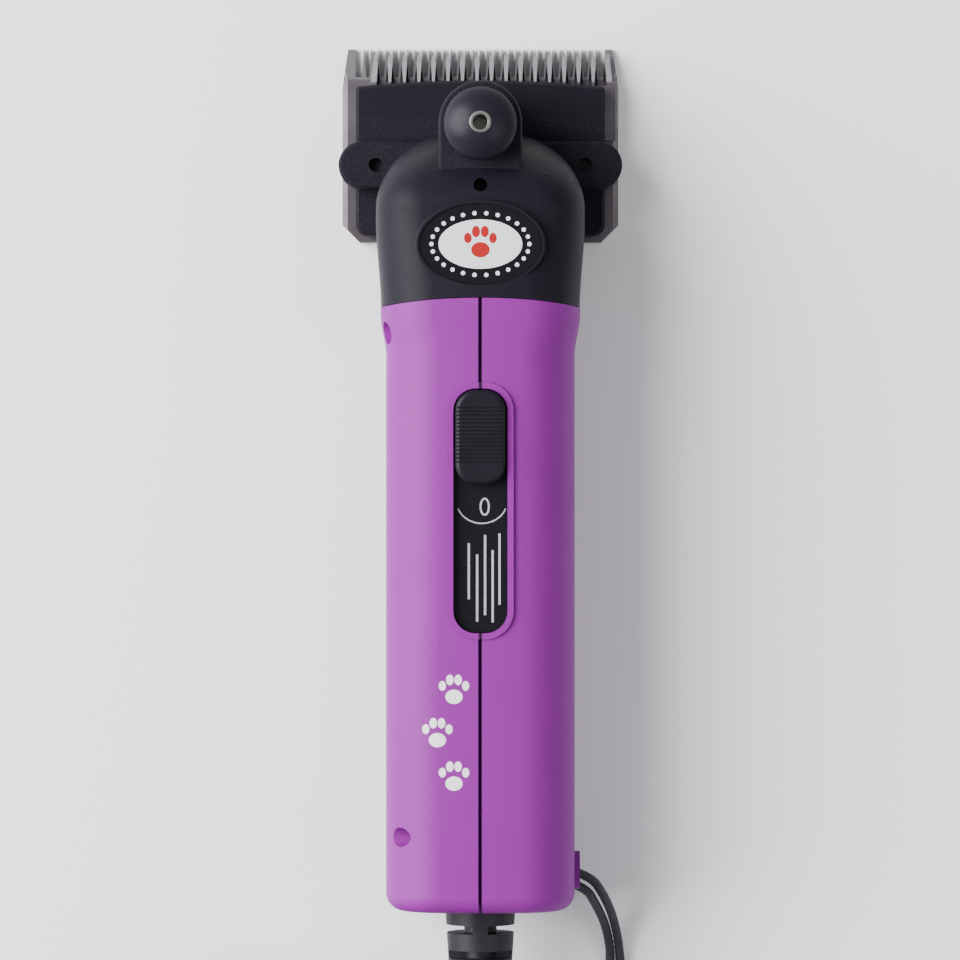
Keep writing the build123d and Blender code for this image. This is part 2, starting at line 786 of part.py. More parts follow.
with BuildPart() as armature_windings:
    for front in (stator_front + 6, stator_rear):
        with BuildSketch(across(front, axis_z)):
            Circle(11.0)
            Circle(shaft_r + 0.05, mode=Mode.SUBTRACT)
        extrude(amount=6)
    fillet(armature_windings.edges().filter_by(GeomType.CIRCLE).filter_by(lambda e: e.radius > 10), 2.2)
    with BuildSketch(across(stator_front + 1, axis_z)):
        with PolarLocations(armature_r - 2.6, 12):
            SlotOverall(4.2, 2.4)
    extrude(amount=stator_front - stator_rear + 2)
save(armature_windings.part, "armature_windings")

with BuildPart() as commutator:
    with BuildSketch(across(-7.0, axis_z)):
        Circle(8.0)
        Circle(shaft_r + 0.01, mode=Mode.SUBTRACT)
    extrude(amount=9)
    with BuildSketch(across(-7.8, axis_z)):
        with PolarLocations(8.0, 24):
            Rectangle(1.6, 0.4)
    extrude(amount=9, mode=Mode.SUBTRACT)
save(commutator.part, "commutator")

with BuildPart() as cooling_fan:
    with BuildSketch(across(50.0, axis_z)):
        Circle(16.5)
        Circle(shaft_r + 0.01, mode=Mode.SUBTRACT)
    extrude(amount=1.6)
    with BuildSketch(across(48.6, axis_z)):
        Circle(5.2)
        Circle(shaft_r + 0.01, mode=Mode.SUBTRACT)
        with PolarLocations(10.6, 11):
            Rectangle(11, 1.1)
    extrude(amount=7)
save(cooling_fan.part, "cooling_fan")

with BuildPart() as motor_bridge:
    with BuildSketch(across(-20.0, axis_z)):
        Circle(stator_r)
        Circle(bearing_r, mode=Mode.SUBTRACT)
    extrude(amount=5)
    with BuildSketch(across(-0.2, axis_z)):
        Circle(stator_r)
        Circle(18.6, mode=Mode.SUBTRACT)
    extrude(amount=20)
    with BuildSketch(Plane.YZ.offset(-30)):
        with Locations((-12, axis_z)):
            Rectangle(7.2, 7.2)
    extrude(amount=60, mode=Mode.SUBTRACT)
    with BuildSketch(across(5, axis_z)):
        with Locations((0, -bolt_r), (0, bolt_r)):
            Circle(1.5)
    extrude(amount=40, mode=Mode.SUBTRACT)
save(motor_bridge.part, "motor_bridge")

with BuildPart() as motor_bolts:
    for side in (-1, 1):
        with BuildSketch(across(57.8, axis_z)):
            with Locations((0, side * bolt_r)):
                Circle(1.45)
        extrude(amount=82.8)
        with BuildSketch(across(-25.0, axis_z)):
            with Locations((0, side * bolt_r)):
                RegularPolygon(2.3, 6)
        extrude(amount=2)
save(motor_bolts.part, "motor_bolts")

with BuildPart() as brush_holders:
    for side in (-1, 1):
        with BuildSketch(Plane.YZ.offset(side * 8.8)):
            with Locations((-12, axis_z)):
                Rectangle(7.0, 7.0)
                Rectangle(5.6, 5.6, mode=Mode.SUBTRACT)
        extrude(amount=side * 11.6)
    with BuildSketch(Plane.YZ.offset(-30)):
        with Locations((-12, axis_z)):
            Rectangle(5.6, 1.2)
    extrude(amount=60, mode=Mode.SUBTRACT)
save(brush_holders.part, "brush_holders")

with BuildPart() as carbon_brushes:
    for side in (-1, 1):
        with BuildSketch(Plane.YZ.offset(side * 8.05)):
            with Locations((-12, axis_z)):
                Rectangle(5.5, 5.5)
        extrude(amount=side * 7.0)
save(carbon_brushes.part, "carbon_brushes")


def coil_spring(start, direction, length, coil_r, wire_r, turns):
    # helical wire with its ends cut square
    with BuildPart() as spring:
        with BuildLine():
            path = Helix(pitch=length / turns, height=length, radius=coil_r, center=start,
                         direction=direction)
        with BuildSketch(Plane(origin=path @ 0, z_dir=path % 0)):
            Circle(wire_r)
        sweep(is_frenet=True)
    return spring.part


with BuildPart() as brush_springs:
    for side in (-1, 1):
        add(coil_spring((side * 15.4, -12, axis_z), (side, 0, 0), 4.4, 1.9, 0.28, 4))
save(brush_springs.part, "brush_springs")

# ---------------------------------------------------------------- tension set
cup_top = 29.7
knob_low = tower_top + 2.1

with BuildPart() as knob_insert:
    with BuildSketch(Plane.XY.offset(cup_top + 0.1)):
        with Locations((0, knob_y)):
            Circle(3.0)
    extrude(amount=57.1 - cup_top - 0.1)
    with BuildSketch(Plane.XY.offset(44)):
        with Locations((0, knob_y)):
            Circle(2.0)
    extrude(amount=20, mode=Mode.SUBTRACT)
    chamfer(knob_insert.faces().sort_by(Axis.Z)[-1].edges(), 0.25)
save(knob_insert.part, "knob_insert")

with BuildPart() as tension_knob:
    with BuildSketch(Plane.XZ.offset(-knob_y)):
        with BuildLine():
            Polyline((3.0, knob_low), (9.4, knob_low), (10.2, knob_low + 0.8), (10.2, knob_low + 5.0),
                     (9.5, knob_low + 5.9))
            ThreePointArc((9.5, knob_low + 5.9), (7.0, knob_low + 8.0), (3.0, knob_low + 9.6))
            Line((3.0, knob_low + 9.6), (3.0, knob_low))
        make_face()
    revolve(axis=Axis((0, knob_y, 0), (0, 0, 1)))
    # finely serrated rim
    with BuildSketch(Plane.XY.offset(knob_low - 1)):
        with Locations((0, knob_y)):
            with PolarLocations(10.35, 72):
                RegularPolygon(0.42, 4, rotation=45)
    extrude(amount=7.4, mode=Mode.SUBTRACT)
save(tension_knob.part, "tension_knob")

with BuildPart() as spring_cup:
    with BuildSketch(Plane.XY.offset(cup_top - 1.4)):
        with Locations((0, knob_y)):
            Circle(4.6)
    extrude(amount=1.4)
save(spring_cup.part, "spring_cup")

spring_low = 18.5
with BuildPart() as tension_spring:
    add(coil_spring((0, knob_y, spring_low), (0, 0, 1), cup_top - 1.4 - 0.7 - spring_low, 3.6, 0.55, 5))
save(tension_spring.part, "tension_spring")

with BuildPart() as tension_pin:
    with BuildSketch(Plane.XY.offset(fork_low + fork_thick + 0.12)):
        with Locations((0, knob_y)):
            Circle(1.9)
    extrude(amount=12.5)
    with BuildSketch(Plane.XY.offset(14.2)):
        with Locations((0, knob_y)):
            Circle(4.7)
    extrude(amount=1.5)
    fillet(tension_pin.faces().sort_by(Axis.Z)[0].edges(), 0.8)
save(tension_pin.part, "tension_pin")

# ---------------------------------------------------------------- switch
with BuildPart() as label_plate:
    with BuildSketch(Plane.XY.offset(button_low - 1.3)):
        with Locations((0, slot_middle)):
            RectangleRounded(2 * slot_half - 0.2, slot_long - 0.2, slot_corner - 0.1)
        with Locations((0, button_y - button_travel / 2)):
            SlotOverall(button_travel + 7.6, 5.0, rotation=90, mode=Mode.SUBTRACT)
    extrude(amount=1.0)
save(label_plate.part, "label_plate")

with BuildPart() as switch_button:
    with BuildSketch(Plane.XY.offset(button_low)):
        with Locations((0, button_y)):
            RectangleRounded(2 * button_half, button_long, 5.6)
    extrude(amount=3.6)
    fillet(switch_button.faces().sort_by(Axis.Z)[-1].edges(), 1.3)
    with BuildSketch(Plane.XY.offset(button_low + 3.15)):
        with Locations((0, button_y + 0.7)):
            with GridLocations(1, 1.07, 1, 15):
                Rectangle(2 * button_half + 2, 0.5)
    extrude(amount=2, mode=Mode.SUBTRACT)
    with BuildSketch(Plane.XY.offset(49.4)):
        with Locations((0, button_y)):
            Rectangle(4.4, 4.5)
    extrude(amount=button_low - 49.4 + 0.5)
save(switch_button.part, "switch_button")

with BuildPart() as slider_link:
    with BuildSketch(Plane.XY.offset(48.0)):
        with Locations((0, -1.0)):
            RectangleRounded(6, 88, 2.5)
    extrude(amount=1.4)
    with BuildSketch(Plane.XY.offset(44.4)):
        with Locations((0, -41)):
            Rectangle(5, 5)
    extrude(amount=4)
save(slider_link.part, "slider_link")

with BuildPart() as switch_module:
    with BuildSketch(Plane.XY.offset(24)):
        with Locations((0, -46)):
            RectangleRounded(17, 22, 1.0)
    extrude(amount=18)
    with BuildSketch(Plane.XY.offset(42)):
        with Locations((0, -46)):
            Rectangle(10, 20)
            Rectangle(6, 16.5, mode=Mode.SUBTRACT)
    extrude(amount=1.8)
    with BuildSketch(Plane.XY.offset(20)):
        with Locations((-5, -52), (5, -52), (-5, -40), (5, -40)):
            Rectangle(0.8, 4.8)
    extrude(amount=4.5)
save(switch_module.part, "switch_module")

with BuildPart() as suppressor:
    with BuildSketch(Plane.XY.offset(3.2)):
        with Locations((0, -42)):
            RectangleRounded(16, 20, 1.5)
    extrude(amount=10)
    fillet(suppressor.faces().sort_by(Axis.Z)[-1].edges(), 0.8)
save(suppressor.part, "suppressor")

with BuildPart() as terminal_block:
    with BuildSketch(Plane.XY.offset(3.2)):
        with Locations((0, -62.4)):
            Rectangle(20, 9)
    extrude(amount=10)
    with BuildSketch(Plane.XY.offset(7.2)):
        with Locations((-5, -62.4), (5, -62.4)):
            Circle(2.0)
    extrude(amount=8, mode=Mode.SUBTRACT)
    with BuildSketch(across(-50, 8.2)):
        with Locations((-5, 0), (5, 0)):
            Circle(1.5)
    extrude(amount=24, mode=Mode.SUBTRACT)
save(terminal_block.part, "terminal_block")

# ---------------------------------------------------------------- cord entry
relief_pitch = 7.15
slot_wide = 2.3
with BuildPart() as strain_relief:
    with BuildSketch(Plane.XY.offset(axis_z)):
        with BuildLine():
            Polyline((0, handle_rear + 5.6), (8.9, handle_rear + 5.6), (8.9, handle_rear + 2.8),
                     (7.8, handle_rear + 2.8), (7.8, handle_rear - 0.1), (relief_base_r, handle_rear - 0.1),
                     (relief_tip_r, relief_end), (0, relief_end), close=True)
        make_face()
    revolve(axis=Axis((0, 0, axis_z), (0, 1, 0)))
    for level in range(relief_rings):
        front = handle_rear - 4.8 - relief_pitch * level
        flat = level % 2 == 0
        with BuildSketch(across(front, axis_z)):
            Circle(12)
            Circle(4.6, mode=Mode.SUBTRACT)
            if flat:
                Rectangle(4.3, 30, mode=Mode.SUBTRACT)
            else:
                Rectangle(30, 4.3, mode=Mode.SUBTRACT)
        extrude(amount=slot_wide, mode=Mode.SUBTRACT)
    with BuildSketch(across(handle_rear + 8, axis_z)):
        Circle(cord_r + 0.02)
    extrude(amount=80, mode=Mode.SUBTRACT)
save(strain_relief.part, "strain_relief")

with BuildPart() as inner_cord:
    with BuildSketch(across(-68.0, axis_z)):
        Circle(cord_r)
    extrude(amount=-68.0 - relief_end - 0.05)
save(inner_cord.part, "inner_cord")

with BuildPart() as cord_clamp:
    with BuildSketch(across(-76.0, axis_z)):
        with BuildLine():
            Line((-11, 1.2), (-4.4, 1.2))
            ThreePointArc((-4.4, 1.2), (0, 3.55), (4.4, 1.2))
            Polyline((4.4, 1.2), (11, 1.2), (11, 4.2), (4.6, 4.2), (3.2, 6.2), (-3.2, 6.2), (-4.6, 4.2),
                     (-11, 4.2), (-11, 1.2))
        make_face()
    extrude(amount=6)
    with BuildSketch(Plane.XY.offset(20)):
        with Locations((-8, -79), (8, -79)):
            Circle(1.4)
    extrude(amount=20, mode=Mode.SUBTRACT)
save(cord_clamp.part, "cord_clamp")

with BuildPart() as clamp_screws:
    for side in (-1, 1):
        with BuildSketch(Plane.XY.offset(axis_z + 4.25)):
            with Locations((side * 8, -79)):
                Circle(2.5)
        extrude(amount=1.7)
        with BuildSketch(Plane.XY.offset(axis_z - 6)):
            with Locations((side * 8, -79)):
                Circle(1.35)
        extrude(amount=11)
save(clamp_screws.part, "clamp_screws")

# ---------------------------------------------------------------- cords


def corner_radii(points):
    # each bend uses 0.45 of the shorter run beside it
    radii = []
    for before, here, after in zip(points, points[1:], points[2:]):
        into = Vector(*here) - Vector(*before)
        out = Vector(*after) - Vector(*here)
        turn = radians(into.get_angle(out))
        radii.append(0.45 * min(into.length, out.length) / tan(turn / 2))
    return radii


def cord_tube(points, radius, name):
    # round tube along the hand-set route
    radii = corner_radii(points)
    with BuildPart() as tube:
        with BuildLine() as route:
            FilletPolyline(*points, radius=radii)
        with BuildSketch(Plane(origin=route.wires()[0] @ 0, z_dir=route.wires()[0] % 0)):
            Circle(radius)
        sweep()
    length = route.wires()[0].length
    print(f"{name} length {length:.1f} radii", [round(r, 1) for r in radii],
          f"volume ratio {tube.part.volume / (pi * radius ** 2 * length):.4f}")
    return tube.part


on_top = coil_high + cord_r + 0.1
lead_route = [(0, relief_end, axis_z), (0, -167.5, 26.2), (lead_shift, -200.5, on_top),
              (lead_shift, coil_y + 1, on_top)]
save(cord_tube(lead_route, cord_r, "cord_lead"), "cord_lead")

tail_x = coil_x - coil_outer
tail_route = [(tail_x, coil_y + 14, 3.55), (tail_x + 0.6, -190.5, 4.4), (plug_x - 1.2, -177, 7.9),
              (plug_x, plug_y, 9.4)]
save(cord_tube(tail_route, cord_r, "cord_tail"), "cord_tail")

with BuildPart() as cord_coil:
    with BuildSketch(Plane(origin=(coil_x, coil_y, coil_high / 2), x_dir=(1, 0, 0), z_dir=(0, -1, 0))):
        with Locations((coil_mean, 0)):
            RectangleRounded(2 * coil_half, coil_high, cord_r)
    revolve(axis=Axis((coil_x, coil_y, 0), (0, 0, 1)))
save(cord_coil.part, "cord_coil")

plug_plane = Plane(origin=(plug_x, plug_y, 0), x_dir=(1, 0, 0), z_dir=(0, 0, 1))
with BuildPart() as plug_body:
    with BuildSketch(plug_plane):
        with BuildLine():
            Polyline((-5, 0.3), (-5, 4), (2.5 - plug_half, 10), (-plug_half, 18), (-plug_half, plug_long - 6),
                     (5.5 - plug_half, plug_long), (plug_half - 5.5, plug_long), (plug_half, plug_long - 6),
                     (plug_half, 18), (plug_half - 2.5, 10), (5, 4), (5, 0.3), close=True)
        make_face()
    extrude(amount=plug_high)
    fillet(plug_body.edges().filter_by(Axis.Z), 1.4)
    fillet(plug_body.faces().sort_by(Axis.Z)[-1].edges(), 1.2)
save(plug_body.part, "plug_body")

with BuildPart() as plug_pins:
    with BuildSketch(plug_plane.offset(plug_high + 0.02)):
        with Locations((0, plug_long - 10)):
            Rectangle(4.0, 8.0)
    extrude(amount=earth_pin)
    with BuildSketch(plug_plane.offset(plug_high + 0.02)):
        with Locations((-pin_gap / 2, 16), (pin_gap / 2, 16)):
            Rectangle(6.35, 4.0)
    extrude(amount=live_pin)
    chamfer(plug_pins.faces().group_by(Axis.Z)[-1].edges(), 1.0)
save(plug_pins.part, "plug_pins")

loop_route = [(20, -82, axis_z), (30.5, -83.5, 25.6), (35.8, -92, 16.5), (38.6, -100, 7), (40.3, -110.5, 1.3),
              (41, -130, 1.3), (41, -174, 1.3), (31.5, -179.5, 1.3), (22, -174, 1.3), (22, -158, 1.3),
              (27, -146, 1.3), (33.5, -130, 1.3), (37.7, -111, 1.3), (36, -100.5, 7), (33, -93.8, 15.5),
              (29.3, -87.3, 24.3), (20, -84.8, axis_z)]
save(cord_tube(loop_route, loop_r, "hanging_loop"), "hanging_loop")
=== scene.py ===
import math

import bmesh
import bpy
import numpy as np
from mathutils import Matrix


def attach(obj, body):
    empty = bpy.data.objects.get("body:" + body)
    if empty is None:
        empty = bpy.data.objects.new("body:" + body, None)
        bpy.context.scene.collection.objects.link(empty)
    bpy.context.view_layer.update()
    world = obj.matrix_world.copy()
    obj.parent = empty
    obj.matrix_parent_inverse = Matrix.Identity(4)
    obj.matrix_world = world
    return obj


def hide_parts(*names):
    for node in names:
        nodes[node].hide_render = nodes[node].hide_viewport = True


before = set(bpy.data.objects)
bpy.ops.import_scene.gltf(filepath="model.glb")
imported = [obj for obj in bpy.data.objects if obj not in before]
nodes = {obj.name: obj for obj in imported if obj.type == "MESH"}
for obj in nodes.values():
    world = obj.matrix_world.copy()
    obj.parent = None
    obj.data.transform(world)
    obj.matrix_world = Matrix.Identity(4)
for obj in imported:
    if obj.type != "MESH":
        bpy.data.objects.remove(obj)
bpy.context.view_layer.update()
mm = 0.001
print("frame loaded:", len(nodes), "nodes")


class Wire:
    # one output socket that can stand in a sum
    def __init__(self, tree, socket):
        self.tree = tree
        self.socket = socket

    def sum(self, operation, *terms):
        node = self.tree.nodes.new("ShaderNodeMath")
        node.operation = operation
        for slot, term in enumerate(terms):
            if isinstance(term, Wire):
                self.tree.links.new(term.socket, node.inputs[slot])
            else:
                node.inputs[slot].default_value = term
        return Wire(self.tree, node.outputs[0])

    def node(self, kind, settings=None, inputs=None, out=0):
        # any other node: its type, its settings first, then its inputs
        node = self.tree.nodes.new("ShaderNode" + kind)
        for name, value in (settings or {}).items():
            setattr(node, name, value)
        for name, value in (inputs or {}).items():
            if isinstance(value, Wire):
                self.tree.links.new(value.socket, node.inputs[name])
            else:
                node.inputs[name].default_value = value
        return Wire(self.tree, node.outputs[out])

    def __add__(self, other): return self.sum("ADD", self, other)
    def __radd__(self, other): return self.sum("ADD", other, self)
    def __sub__(self, other): return self.sum("SUBTRACT", self, other)
    def __rsub__(self, other): return self.sum("SUBTRACT", other, self)
    def __mul__(self, other): return self.sum("MULTIPLY", self, other)
    def __rmul__(self, other): return self.sum("MULTIPLY", other, self)
    def __truediv__(self, other): return self.sum("DIVIDE", self, other)
    def __gt__(self, other): return self.sum("GREATER_THAN", self, other)
    def __abs__(self): return self.sum("ABSOLUTE", self)

    def step(self, low, high):
        # smooth rise from 0 at low to 1 at high
        return self.node("MapRange", {"interpolation_type": "SMOOTHSTEP"},
                         {"Value": self, "From Min": low, "From Max": high})

    def blend(self, first, second):
        # colour that runs from first to second as this goes from 0 to 1
        return self.node("Mix", {"data_type": "RGBA"}, {0: self, 6: first, 7: second}, out=2)


class Finish:
    # a Principled material with its Object coordinates at hand, in millimetres
    def __init__(self, name, **sockets):
        self.material = bpy.data.materials.new(name)
        self.material.use_nodes = True
        self.tree = self.material.node_tree
        self.shader = self.tree.nodes["Principled BSDF"]
        for socket, value in sockets.items():
            self.shader.inputs[socket.replace("_", " ")].default_value = value
        start = Wire(self.tree, None)
        metres = start.node("TexCoord", out=3)       # its Object output
        self.place = metres.node("VectorMath", {"operation": "SCALE"}, {0: metres, 3: 1000.0})
        parts = self.place.node("SeparateXYZ", inputs={0: self.place}).socket.node
        self.x, self.y, self.z = (Wire(self.tree, parts.outputs[k]) for k in range(3))

    def noise(self, size, detail=2.0, rough=0.5, stretch=None):
        # cloudy pattern whose lumps are about size millimetres across
        place = self.place
        if stretch:
            place = place.node("VectorMath", {"operation": "MULTIPLY"}, {0: place, 1: stretch})
        return place.node("TexNoise", inputs={"Vector": place, "Scale": 1.0 / size, "Detail": detail,
                                              "Roughness": rough})

    def feed(self, **wires):
        for socket, wire in wires.items():
            self.tree.links.new(wire.socket, self.shader.inputs[socket.replace("_", " ")])

    def bump(self, height, depth):
        # height is 0 to 1, depth in millimetres
        self.feed(Normal=height.node("Bump", inputs={"Height": height, "Distance": depth * mm,
                                                     "Strength": 1.0}))


def opaque(colour):
    return (*colour, 1.0)


def paint(finish, *names):
    for name in names:
        mesh = nodes[name].data
        mesh.materials.clear()
        mesh.materials.append(finish.material)


cameraSet = {"height": 1450 * mm, "viewWidth": 275.5 * mm, "centre": (-0.1 * mm, 27.0 * mm),
             "sensor": 36.0}


def makeCamera(setup):
    # looks straight down; the lens is chosen so that viewWidth fills the frame at table height
    data = bpy.data.cameras.new("camera")
    data.sensor_width = setup["sensor"]
    data.lens = setup["sensor"] * setup["height"] / setup["viewWidth"]
    camera = bpy.data.objects.new("camera", data)
    camera.location = (*setup["centre"], setup["height"])
    bpy.context.scene.collection.objects.link(camera)
    bpy.context.scene.camera = camera


makeCamera(cameraSet)


def meshPiece(name, points, faces, finish, body):
    mesh = bpy.data.meshes.new(name)
    mesh.from_pydata(points.reshape(-1, 3).tolist(), [], faces.tolist())
    mesh.validate()
    mesh.polygons.foreach_set("use_smooth", np.ones(len(mesh.polygons), bool))
    piece = bpy.data.objects.new(name, mesh)
    bpy.context.scene.collection.objects.link(piece)
    mesh.materials.append(finish.material)
    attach(piece, body)
    return piece


def gridFaces(rows, columns, closeRows=False, closeColumns=False):
    # quads between neighbouring grid points; a closed side wraps round to its start
    r = np.arange(rows if closeRows else rows - 1)
    c = np.arange(columns if closeColumns else columns - 1)
    r, c = np.meshgrid(r, c, indexing="ij")
    nextR, nextC = (r + 1) % rows, (c + 1) % columns
    quads = np.stack([r * columns + c, nextR * columns + c, nextR * columns + nextC,
                      r * columns + nextC], -1)
    return quads.reshape(-1, 4)


def tidyMesh(piece):
    # merge what coincides and turn every face outwards
    shape = bmesh.new()
    shape.from_mesh(piece.data)
    bmesh.ops.remove_doubles(shape, verts=shape.verts, dist=1e-7)
    bmesh.ops.recalc_face_normals(shape, faces=shape.faces)
    shape.to_mesh(piece.data)
    shape.free()


def routeCurve(name, route, radius, smooth, bevel=0):
    data = bpy.data.curves.new(name, "CURVE")
    data.dimensions = "3D"
    data.resolution_u = smooth
    data.bevel_depth = radius
    data.bevel_resolution = bevel
    data.use_fill_caps = radius > 0
    spline = data.splines.new("NURBS")
    spline.points.add(len(route) - 1)
    spline.points.foreach_set("co", np.c_[np.array(route) * mm, np.ones(len(route))].ravel())
    spline.order_u = 3
    spline.use_endpoint_u = True
    curve = bpy.data.objects.new(name, data)
    bpy.context.scene.collection.objects.link(curve)
    return curve


def routeLine(route, smooth):
    # points along the route's own spline
    bare = routeCurve("bareRoute", route, 0.0, smooth)
    line = bpy.data.meshes.new_from_object(bare)
    points = np.empty(len(line.vertices) * 3)
    line.vertices.foreach_get("co", points)
    bpy.data.objects.remove(bare)
    bpy.data.meshes.remove(line)
    return points.reshape(-1, 3)


mainsCord = {"radius": 3.5, "exit": (0, -150.4, 26.5), "columns": 4, "rows": 3, "mean": 40.0,
             "shift": 14.0, "centreY": -218.0, "lift": 0.05, "pointsPerTurn": 16, "smooth": 6, "bevel": 5,
             "length": 3.0}
leadRoute = [(0, -150.4, 26.5), (0, -167.5, 26.2), (14, -200.5, 24.6), (14, -211, 24.6)]
tailRoute = [(-66, -204, 3.55), (-65.4, -190.5, 4.4), (-61.7, -177, 7.9), (-60.5, -162, 9.4)]


def coilRoute(cord):
    # stages of (turns, radius from, radius to, height from, height to), clockwise seen from above
    d = 2 * cord["radius"]
    inner = cord["mean"] - (cord["columns"] - 1) * d / 2
    outer = cord["mean"] + (cord["columns"] - 1) * d / 2
    level = [d * row + cord["radius"] + cord["lift"] for row in range(cord["rows"] + 1)]
    stages = [(0.4, inner, inner, level[3], level[2]), (3, inner, outer, level[2], level[2]),
              (0.85, outer, outer, level[2], level[1]), (3, outer, inner, level[1], level[1]),
              (0.85, inner, inner, level[1], level[0]), (3, inner, outer, level[0], level[0]),
              (0.4, outer, outer, level[0], level[0])]
    centreX = cord["shift"] - inner
    route = []
    turned = 0.0
    for turns, r0, r1, z0, z1 in stages:
        steps = round(turns * cord["pointsPerTurn"])
        for step in range(steps):
            share = step / steps
            angle = -2 * math.pi * (turned + turns * share)
            ease = share * share * (3 - 2 * share)
            r = r0 + (r1 - r0) * share
            route.append((centreX + r * math.cos(angle), cord["centreY"] + r * math.sin(angle),
                          z0 + (z1 - z0) * ease))
        turned += turns
    route.append((centreX - outer, cord["centreY"], level[0]))
    return route


def makeMainsCord(cord, finish):
    piece = routeCurve("mainsCord", leadRoute + coilRoute(cord) + tailRoute, cord["radius"] * mm,
                       cord["smooth"], cord["bevel"])
    piece.data.materials.append(finish.material)
    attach(piece, "housing")
    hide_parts("cord_lead", "cord_tail", "cord_coil")


hangingLoop = {"radius": 1.25, "exit": (28.5, -83.0, 26.5), "length": 0.24, "strands": 8,
               "braidPitch": 1.9, "crest": 0.06, "depth": 0.16, "ringGap": 0.17, "around": 32,
               "smooth": 88, "pathEvery": 6}
loopRoute = [(20, -82, 26.5), (30.5, -83.5, 25.6), (35.8, -92, 16.5), (38.6, -100, 7), (40.3, -110.5, 1.3),
             (41, -130, 1.3), (41, -174, 1.3), (31.5, -179.5, 1.3), (22, -174, 1.3), (22, -158, 1.3),
             (27, -146, 1.3), (33.5, -130, 1.3), (37.7, -111, 1.3), (36, -100.5, 7), (33, -93.8, 15.5),
             (29.3, -87.3, 24.3), (20, -84.8, 26.5)]


def makeHangingLoop(loop, finish):
    # a tube along the route whose surface is a plain braid: two families of helical strands, and in each
    # cell of their lattice the one on top bulges as a half cosine across its own width
    line = routeLine(loopRoute, loop["smooth"])
    along = np.concatenate([[0], np.cumsum(np.linalg.norm(np.diff(line, axis=0), axis=1))])
    even = np.linspace(0, along[-1], int(along[-1] / (loop["ringGap"] * mm)))
    path = np.stack([np.interp(even, along, line[:, k]) for k in range(3)], 1)
    tangent = np.gradient(path, axis=0)
    tangent /= np.linalg.norm(tangent, axis=1, keepdims=True)
    side = np.cross(tangent, (0, 0, 1))
    side /= np.linalg.norm(side, axis=1, keepdims=True)
    up = np.cross(side, tangent)
    turn = np.linspace(0, 2 * np.pi, loop["around"], endpoint=False)
    s, angle = np.meshgrid(even / mm, turn, indexing="ij")
    first = loop["strands"] * angle / (2 * np.pi) + s / loop["braidPitch"]
    second = loop["strands"] * angle / (2 * np.pi) - s / loop["braidPitch"]
    onTop = (np.floor(first) + np.floor(second)) % 2 < 1
    crest = np.cos(np.pi * (np.where(onTop, first, second) % 1 - 0.5))
    r = (loop["radius"] + loop["crest"] - loop["depth"] * (1 - crest)) * mm
    points = path[:, None] + r[..., None] * (np.cos(angle)[..., None] * side[:, None]
                                             + np.sin(angle)[..., None] * up[:, None])
    faces = gridFaces(len(path), loop["around"], False, True)[:, ::-1]
    piece = meshPiece("hangingLoop", points, faces, finish, "housing")
    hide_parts("hanging_loop")


def purplePlastic(marked):
    # the seam colour and its half width below paint shade into the groove between the two shells
    look = {"colour": (0.185, 0.006, 0.215), "light": (0.205, 0.009, 0.235),
            "groove": (0.02, 0.001, 0.024), "mark": (0.80, 0.80, 0.80), "grain": 0.42,
            "grainDepth": 0.035, "grooveHalf": (0.25, 0.7)}
    f = Finish("purplePlastic" + ("Marked" if marked else ""), Specular_IOR_Level=0.2)
    cloud = f.noise(18.0, 3.0)
    grain = f.noise(look["grain"], 2.0, 0.6)
    colour = cloud.blend(opaque(look["colour"]), opaque(look["light"]))
    groove = 1 - abs(f.x).step(*look["grooveHalf"])      # painted shade in the seam groove between the two shells
    colour = groove.blend(colour, opaque(look["groove"]))
    if marked:
        mask = pawTrail(f)
        colour = mask.blend(colour, opaque(look["mark"]))
    f.feed(Base_Color=colour, Roughness=0.48 + 0.14 * f.noise(1.1, 2.0))
    f.bump(grain, look["grainDepth"])
    return f


pawMarks = {"x": -9.6, "y": [-31.5, -43.5, -55.5], "lean": [2.3, -2.3, 2.3], "size": 5.2, "above": 30.0}


def pawTrail(f):
    # 1 inside any of the pads of a row of paw prints, seen from above
    top = f.z > pawMarks["above"]
    mask = None
    for y, lean in zip(pawMarks["y"], pawMarks["lean"]):
        for dx, dy, rx, ry in pawPads(pawMarks["size"]):
            u = (f.x - (pawMarks["x"] + lean + dx)) / rx
            v = (f.y - (y + dy)) / ry
            inside = 1 - (u * u + v * v).step(0.9, 1.06)
            mask = inside if mask is None else mask.sum("MAXIMUM", mask, inside)
    return mask * top


def pawPads(size):
    # a heel pad and four toes, as (x, y, half width, half height)
    pads = [(0.0, -0.28, 0.46, 0.38), (-0.62, 0.30, 0.19, 0.26), (-0.22, 0.62, 0.20, 0.28),
            (0.22, 0.62, 0.20, 0.28), (0.62, 0.30, 0.19, 0.26)]
    return [tuple(value * size for value in pad) for pad in pads]


